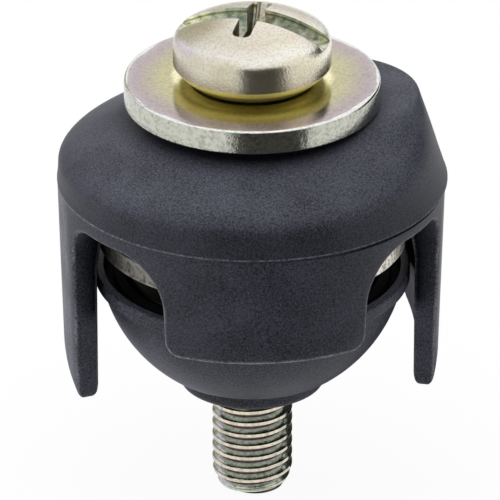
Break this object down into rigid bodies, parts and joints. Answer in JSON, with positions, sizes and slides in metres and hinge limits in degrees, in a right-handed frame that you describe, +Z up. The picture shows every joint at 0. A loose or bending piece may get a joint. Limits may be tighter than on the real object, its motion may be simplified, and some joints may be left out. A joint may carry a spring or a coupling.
{
  "type": "tap connector",
  "caption": "Upright clamp for electrical wires: a screw draws an insulating cap and a metal plate down on wires laid across a bowl, and fastens them to a bar.",
  "frame": {"origin": "centre of the screw hole in the contact bush, in the plane where the foot sits on the bar", "axes": "+Z up along the screw's axis towards its head, -Y towards the viewer of the picture, +X to the viewer's right"},
  "size_m": [0.024, 0.024, 0.0321],
  "materials": {
    "yellow_zinc": "yellow passivated zinc plating, satin",
    "pale_zinc": "zinc plating, with a sheared edge",
    "dull_brass": "dull",
    "cap_plastic": "fine-grained matt moulding",
    "body_plastic": "fine-grained matt moulding"
  },
  "bodies": {
    "base": {"lower_body": "body_plastic", "contact_bush": "dull_brass"},
    "clamp": {"insulating_cap": "cap_plastic", "pressure_plate": "pale_zinc", "top_washer": "yellow_zinc"},
    "screw": {"clamping_screw": "yellow_zinc"}
  },
  "joints": [
    {"name": "cap_lift", "type": "slide", "parent": "base", "child": "clamp", "axis": [0, 0, 1], "range_m": [-0.0016, 0.0032]},
    {"name": "screw_turn", "type": "hinge", "parent": "clamp", "child": "screw", "pos_m": [0, 0, 0.02075], "axis": [0, 0, 1], "range_deg": [-721, 1441]}
  ],
  "couplings": [
    {"joint": "screw_turn", "follows": "cap_lift", "rad_per_m": 7854}
  ]
}
